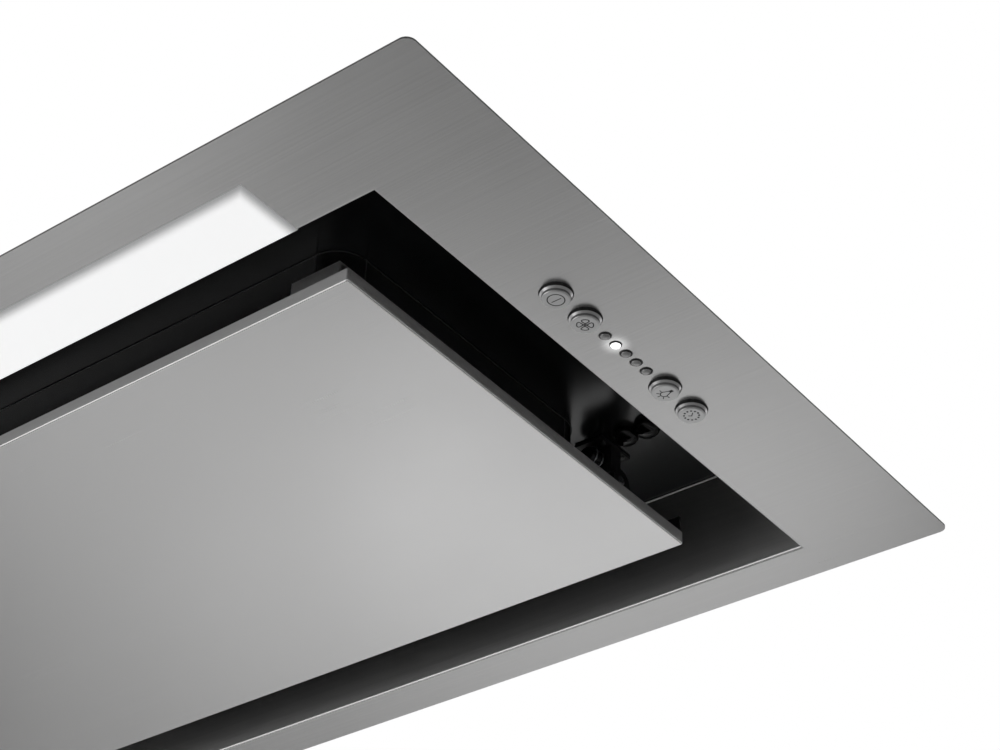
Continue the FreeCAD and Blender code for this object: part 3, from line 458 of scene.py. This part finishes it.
# Seam and intake plate: a foil-faced foam strip seals the frame to a sheet steel plate in gloss
# black enamel, with a pressed collar of the same finish below it and rubber grommets in it.
seam_low, seam_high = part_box("seam_gasket")
throat_x = 0.3675
throat_front, throat_back = -0.1771, 0.2185
bulge_radius = 0.0008
bulge_reach = 0.0005
bulge_z = (seam_low.z + seam_high.z) / 2


def foil_strip():
    material, place = finish("foil_faced_foam", Metallic=1.0)
    crease = place.noise(300.0, 3.0)
    return feed(
        material,
        Base_Color=crease.between(grey(0.78), grey(0.92)),
        Roughness=0.26 + 0.2 * crease,
        Normal=crease.bump(0.0001, 0.4),
    )


def black_enamel(name, dark, light, rough):
    material, place = finish(name, IOR=1.65)
    peel = place.noise(260.0, 2.0)
    dust = place.noise(900.0, 2.0)
    return feed(
        material,
        Base_Color=peel.between(grey(dark, -0.05), grey(light, -0.05)),
        Roughness=rough + 0.10 * (dust - 0.4).clamp(),
        Normal=peel.bump(0.00005, 0.06),
    )


def soft_rubber():
    material, place = finish("black_rubber")
    grain = place.noise(1100.0)
    return feed(
        material,
        Base_Color=grain.between(grey(0.010), grey(0.020)),
        Roughness=0.16 + 0.12 * grain,
        Normal=grain.bump(0.00003, 0.2),
    )


def swept_wire(bm, points, radius, sides=10):
    """A round wire with closed ends through points, each ring square to the run of the wire."""
    rings = []
    for i, point in enumerate(points):
        run = points[min(i + 1, len(points) - 1)] - points[max(i - 1, 0)]
        turn = run.to_track_quat("Z", "Y").to_matrix()
        spokes = [turn @ Vector((x, y, 0)) for x, y in ring(radius, sides)]
        rings.append([bm.verts.new(point + spoke) for spoke in spokes])
    for first, second in zip(rings, rings[1:]):
        for i in range(sides):
            j = (i + 1) % sides
            bm.faces.new((first[i], first[j], second[j], second[i]))
    bm.faces.new(rings[0][::-1])
    bm.faces.new(rings[-1])


rubber = soft_rubber()
coat(black_enamel("plate_enamel", 0.014, 0.021, 0.20), "intake_plate")
coat(black_enamel("collar_enamel", 0.004, 0.007, 0.06), "filter_collar")
coat(rubber, "cable_grommets")
foil = foil_strip()
coat(foil, "seam_gasket")
inset = bulge_radius - bulge_reach
bulge_x, bulge_front, bulge_back = throat_x + inset, throat_front - inset, throat_back + inset
corners = [
    Vector((-bulge_x, bulge_front, bulge_z)), Vector((bulge_x, bulge_front, bulge_z)),
    Vector((bulge_x, bulge_back, bulge_z)), Vector((-bulge_x, bulge_back, bulge_z)),
]
bm = bmesh.new()
for first, second in zip(corners, corners[1:] + corners[:1]):
    swept_wire(bm, [first, second], bulge_radius)
new_piece("seam_bulge", bm, foil, "hood").data.shade_smooth()


# Collar seams: the collar's round corners are let in between its straight walls. A thin brazed
# bead stands along each joint, and one runs round the collar below the plate.
collar_low, collar_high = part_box("filter_collar")
collar_corner = 0.020
seam_radius = 0.0005
corner_steps = 12
inner = (collar_low.x + collar_corner, collar_low.y + collar_corner)
outer = (collar_high.x - collar_corner, collar_high.y - collar_corner)
centres = (inner, (outer[0], inner[1]), outer, (inner[0], outer[1]))
bm = bmesh.new()
rim = []
for start, centre in zip((180, 270, 0, 90), centres):
    arc = bend(collar_corner, start, start + 90, corner_steps, centre)
    rim += [Vector((x, y, collar_high.z - seam_radius)) for x, y in arc]
    for x, y in (arc[0], arc[-1]):
        swept_wire(bm, [Vector((x, y, z)) for z in (collar_low.z, collar_high.z)], seam_radius)
swept_wire(bm, rim + rim[:1], seam_radius)
bead = moulded("brazed_bead", grey(0.05), grey(0.09), 0.25)
new_piece("collar_seams", bm, bead, "hood")


# Plug caps: two domed caps of gloss black rubber, each moulded in one piece and pressed over a
# grommet in the plate.
grommet_low, grommet_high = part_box("cable_grommets")
grommet_radius = 0.0074
grommet_height = 0.003
cap_foot = grommet_low.z + grommet_height
cap_outline = (
    (0, 0), (7.9, 0), (8.2, 1.6), (8.0, 3.3), (7.2, 4.9),
    (5.8, 6.1), (3.8, 6.9), (1.8, 7.2), (0, 7.3),
)
left_cap = (grommet_low.x + grommet_radius, grommet_low.y + grommet_radius)
right_cap = (grommet_high.x - grommet_radius, grommet_high.y - grommet_radius)
bm = bmesh.new()
for x, y in (left_cap, right_cap):
    turned(bm, in_metres(cap_outline), Matrix.Translation((x, y, cap_foot)) @ upside_down)
gloss_rubber = moulded("gloss_cap", grey(0.003), grey(0.006), 0.09)
new_piece("plug_caps", bm, gloss_rubber, "hood").data.shade_smooth()


# Grease filters: bright aluminium channel frames with stretched mesh over a knitted core, each
# with a black spring latch on its back side.
def bright_aluminium():
    material, place = finish("bright_aluminium", Metallic=1.0)
    lines = place.stretched(20.0, 1200.0, 1200.0).noise(1.0, 3.0)
    haze = place.noise(30.0, 3.0)
    return feed(
        material,
        Base_Color=(0.5 * lines + 0.5 * haze).between((0.60, 0.61, 0.62, 1), (0.78, 0.79, 0.80, 1)),
        Roughness=0.30 + 0.14 * (lines - 0.5) + 0.1 * (haze - 0.5),
        Normal=lines.bump(0.00003, 0.3),
    )


def knitted_core():
    material, place = finish("knitted_aluminium", Metallic=1.0)
    weave = (place.cells(330.0, "DISTANCE_TO_EDGE") * 6.0).clamp()
    return feed(
        material,
        Base_Color=weave.between((0.55, 0.56, 0.57, 1), (0.06, 0.06, 0.065, 1)),
        Roughness=0.35 + 0.3 * weave,
        Normal=(1.0 - weave).bump(0.0004, 0.8),
    )


filter_metal = bright_aluminium()
core_metal = knitted_core()
for side in ("left", "right"):
    coat(filter_metal, "filter_frame_" + side, "filter_mesh_" + side)
    coat(core_metal, "filter_core_" + side)
    coat(black_plastic, "filter_latch_" + side)


# Suction panel: a folded tray of brushed stainless steel, its front return painted pale and matt
# as painted light, with a filling board and a zinc back sheet. Steel tabs near its front corners
# meet magnets.
def panel_steel():
    material, _, facing, steel = brushed_steel(
        "panel_brushed_steel", grey(0.69, 0.003), grey(0.79, 0.003)
    )
    # Faces towards the front are painted pale and matt, as painted light on the front return.
    painted_lit_front = ((0.0 - facing.axis("Y") - 0.8) * 8.0).clamp()
    return feed(
        material, Base_Color=painted_lit_front.between(steel, grey(0.70)), Metallic=1.0 - 0.85 * painted_lit_front
    )


def plain_steel(name, dark, light, rough):
    material, place = finish(name, Metallic=1.0)
    mill = place.stretched(300.0, 40.0, 300.0).noise(1.0, 3.0)
    stains = place.noise(60.0, 4.0)
    return feed(
        material,
        Base_Color=(0.6 * mill + 0.4 * stains).between(dark, light),
        Roughness=rough + 0.15 * (stains - 0.5),
        Normal=mill.bump(0.00003, 0.3),
    )


def filling_board():
    material, place = finish("filling_board", Roughness=0.8)
    cells = place.cells(260.0, "DISTANCE_TO_EDGE")
    return feed(
        material,
        Base_Color=(cells * 4.0).clamp().between(grey(0.16), grey(0.34)),
        Normal=cells.bump(0.0003, 0.5),
    )


bracket_steel = plain_steel("bracket_steel", grey(0.56), grey(0.70), 0.45)
bright_zinc = plain_steel("bright_zinc", (0.50, 0.51, 0.53, 1), (0.68, 0.69, 0.70, 1), 0.28)
coat(panel_steel(), "panel_skin")
coat(filling_board(), "panel_core")
coat(zinc, "panel_backing")
coat(bracket_steel, "catch_brackets")
coat(bright_zinc, "hinge_pins")
coat(black_plastic, "magnet_catches", "hinge_brackets", "hinge_arms")


# Hinge dampers: a small gloss black damper barrel in front of each hinge bracket's web slows the
# panel's fall. Two spring wire rings hold it, and two screws hold the bracket's foot.
damper_radius = 0.0063
damper_length = 0.012
damper_shape = ((0, 0), (1, 0), (1, 0.8), (0.86, 0.94), (0.5, 1), (0, 1))
damper_outline = [(damper_radius * wide, damper_length * far) for wide, far in damper_shape]
damper_x, damper_z = 0.264, 0.0625
wire_radius = 0.0005
clip_shares = (0.22, 0.72)
clip_start, clip_end, clip_steps = -260, 80, 40
screw_outline = ((0, 0), (1.9, 0), (1.805, 0.9), (1.045, 1.4), (0, 1.5))
screw_x = 0.2722
screw_inset = 0.005
web_half = 0.005
foot_sheet = 0.002
hinge_low, hinge_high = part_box("hinge_brackets")
web_front = (hinge_low.y + hinge_high.y) / 2 - web_half
foot_low = hinge_high.z - foot_sheet
forwards = Matrix.Rotation(math.pi / 2, 4, "X")


def smoothed(piece, angle=40):
    piece.data.shade_smooth()
    piece.data.set_sharp_from_angle(angle=math.radians(angle))


dark_zinc = plain_steel("dark_zinc", grey(0.14), grey(0.22), 0.4)
gloss_plastic = moulded("gloss_black_moulding", grey(0.008), grey(0.016), 0.14)
barrels, clips, screws = bmesh.new(), bmesh.new(), bmesh.new()
for side in (-1, 1):
    out_front = Matrix.Translation((side * damper_x, web_front, damper_z)) @ forwards
    turned(barrels, damper_outline, out_front)
    loop = bend(damper_radius + wire_radius, clip_start, clip_end, clip_steps)
    for share in clip_shares:
        points = [out_front @ Vector((x, y, share * damper_length)) for x, y in loop]
        swept_wire(clips, points, wire_radius)
    for y in (hinge_low.y + screw_inset, hinge_high.y - screw_inset):
        spot = Matrix.Translation((side * screw_x, y, foot_low))
        turned(screws, in_metres(screw_outline), spot @ upside_down)
smoothed(new_piece("hinge_dampers", barrels, gloss_plastic, "hood"))
smoothed(new_piece("hinge_clips", clips, bright_zinc, "hood"))
smoothed(new_piece("hinge_screws", screws, dark_zinc, "hood"))


# Casing: zinc-coated sheet above the ceiling, a shell over the long sides and two end sheets,
# held by pan head screws. Four angles take the hanging rods.
coat(zinc, "casing_shell", "casing_end_left", "casing_end_right", "hanger_brackets")
coat(bright_zinc, "seam_bolts", "seam_nuts", "stud_nuts", "outer_screws", "inner_screws")


# Blower: a dark moulded wheel on the shaft of a cast motor, in a spiral housing of zinc sheet
# that hangs on four posts from the roof of the casing.
wheel_plastic = moulded("wheel_moulding", grey(0.05), grey(0.085), 0.5)
motor_metal = plain_steel("motor_casting", grey(0.26), grey(0.40), 0.5)
coat(zinc, "scroll_wall", "scroll_bottom", "scroll_top")
coat(wheel_plastic, "impeller")
coat(bright_zinc, "motor_shaft", "blower_posts")
coat(motor_metal, "motor_body")


# Duct outlet: a black moulded spigot screwed to the left end, with two half-round flaps that
# swing on one upright pin.
coat(black_plastic, "duct_spigot", "flap_back", "flap_front")
coat(bright_zinc, "flap_pin")


# Supply: a black moulded terminal box with its gland on the right end, a supply for the lamp on
# the plate, and the motor's capacitor.
pale_plastic = moulded("terminal_grey", grey(0.42), grey(0.52), 0.5)
coat(black_plastic, "terminal_box", "terminal_cover", "cable_gland", "lamp_driver")
coat(pale_plastic, "terminal_block", "motor_capacitor")


# Stage: a white ceiling board that shows only from below, a pale floor that shows only from above,
# soft light and the camera at the photograph's viewing angle.
board_height, floor_height = 0.0004, -2.4
stage_reach = 9.0
cutout_x, cutout_y = 0.435, 0.235


def square(x, y):
    return [(-x, -y), (x, -y), (x, y), (-x, y)]


def stage_sheet(name, outline, hole, z, material):
    bm = bmesh.new()
    outer = [bm.verts.new((x, y, z)) for x, y in outline]
    if hole:
        inner = [bm.verts.new((x, y, z)) for x, y in hole]
        for i in range(4):
            j = (i + 1) % 4
            bm.faces.new((outer[i], inner[i], inner[j], outer[j]))
    else:
        bm.faces.new(outer)
    mesh_object(name, bm, material)


def seen_directly(start):
    """1 where a ray comes from the camera, or by way of gloss or glass, and 0 where it lights."""
    kinds = ("Is Camera Ray", "Is Glossy Ray", "Is Transmission Ray")
    direct, mirrored, through = [start.make("LightPath", out=kind) for kind in kinds]
    return direct.larger(mirrored).larger(through)


def plain_shader(place):
    return Wire(place.tree, place.tree.nodes["Principled BSDF"].outputs[0])


def one_sided(material, shown):
    """Shows a sheet on its front only, so that it doesn't block a view from behind it."""
    back = shown.make("NewGeometry", out="Backfacing")
    mixed = shown.make("MixShader", None, {0: back, 1: shown, 2: shown.make("BsdfTransparent")})
    shown.tree.links.new(mixed.socket, shown.tree.nodes["Material Output"].inputs["Surface"])
    return material


def board_white():
    material, place = finish("ceiling_white", Roughness=0.9, Base_Color=grey(0.8))
    white = place.make("Emission", None, {"Color": grey(1.0), "Strength": 1.0})
    sides = {0: seen_directly(place), 1: plain_shader(place), 2: white}
    return one_sided(material, place.make("MixShader", None, sides))


def floor_pale():
    material, place = finish("floor_pale", Roughness=0.7)
    feed(material, Base_Color=place.noise(1.5, 3.0).between(grey(0.78), grey(0.82)))
    return one_sided(material, plain_shader(place))


whole, cutout = square(stage_reach, stage_reach), square(cutout_x, cutout_y)
stage_sheet("ceiling_board", whole, cutout, board_height, board_white())
stage_sheet("floor", whole, None, floor_height, floor_pale())

scene = bpy.context.scene
world = bpy.data.worlds.new("studio")
scene.world = world
world.use_nodes = True
soft_level = 0.28
level = soft_level + (1.0 - soft_level) * seen_directly(Wire(world.node_tree))
sky = world.node_tree.nodes["Background"]
sky.inputs["Color"].default_value = grey(1.0)
world.node_tree.links.new(level.socket, sky.inputs["Strength"])


def soft_lamp(name, place, aim, size, power):
    data = bpy.data.lights.new(name, "AREA")
    data.shape = "ELLIPSE"
    data.size = data.size_y = size
    data.energy = power
    lamp = bpy.data.objects.new(name, data)
    scene.collection.objects.link(lamp)
    lamp.visible_camera = False
    away = Vector(place) - Vector(aim)
    lamp.matrix_world = Matrix.Translation(place) @ away.to_track_quat("Z", "Y").to_matrix().to_4x4()


low_lamps = (
    (-3.8, 3.8, 0.50), (-2.1, 1.9, 1.40), (-2.1, 2.7, 0.70),
    (-1.5, 0.6, 1.90), (-1.5, 2.7, 2.10), (-0.8, 2.7, 0.90),
)
low_lamp_z, low_lamp_size = -2.2, 1.3
seen_end = (0.2, 0.0, 0.0)
for number, (x, y, power) in enumerate(low_lamps):
    soft_lamp("low_lamp_%d" % number, (x, y, low_lamp_z), seen_end, low_lamp_size, power)
soft_lamp("front_lamp", (-2.0, -2.9, -1.6), seen_end, 3.2, 38.0)
soft_lamp("top_lamp", (-1.5, -1.8, 2.6), (0.0, 0.0, 0.1), 4.0, 22.0)

camera_place = (0.94961, -0.77625, -0.72693)
turn, lift, roll = math.radians(39.616), math.radians(-36.553), math.radians(2.915)
away = Vector((math.sin(turn) * math.cos(lift), -math.cos(turn) * math.cos(lift), math.sin(lift)))
right = Vector((0, 0, 1)).cross(away).normalized()
up = away.cross(right)
right, up = (
    right * math.cos(roll) + up * math.sin(roll),
    up * math.cos(roll) - right * math.sin(roll),
)
camera_data = bpy.data.cameras.new("camera")
camera_data.sensor_width = 36.0
camera_data.lens = 80.559
camera_data.clip_end = 50.0
camera = bpy.data.objects.new("camera", camera_data)
scene.collection.objects.link(camera)
pointing = Matrix((right, up, away)).transposed().to_4x4()
camera.matrix_world = Matrix.Translation(camera_place) @ pointing
scene.camera = camera
scene.view_settings.view_transform = "Standard"
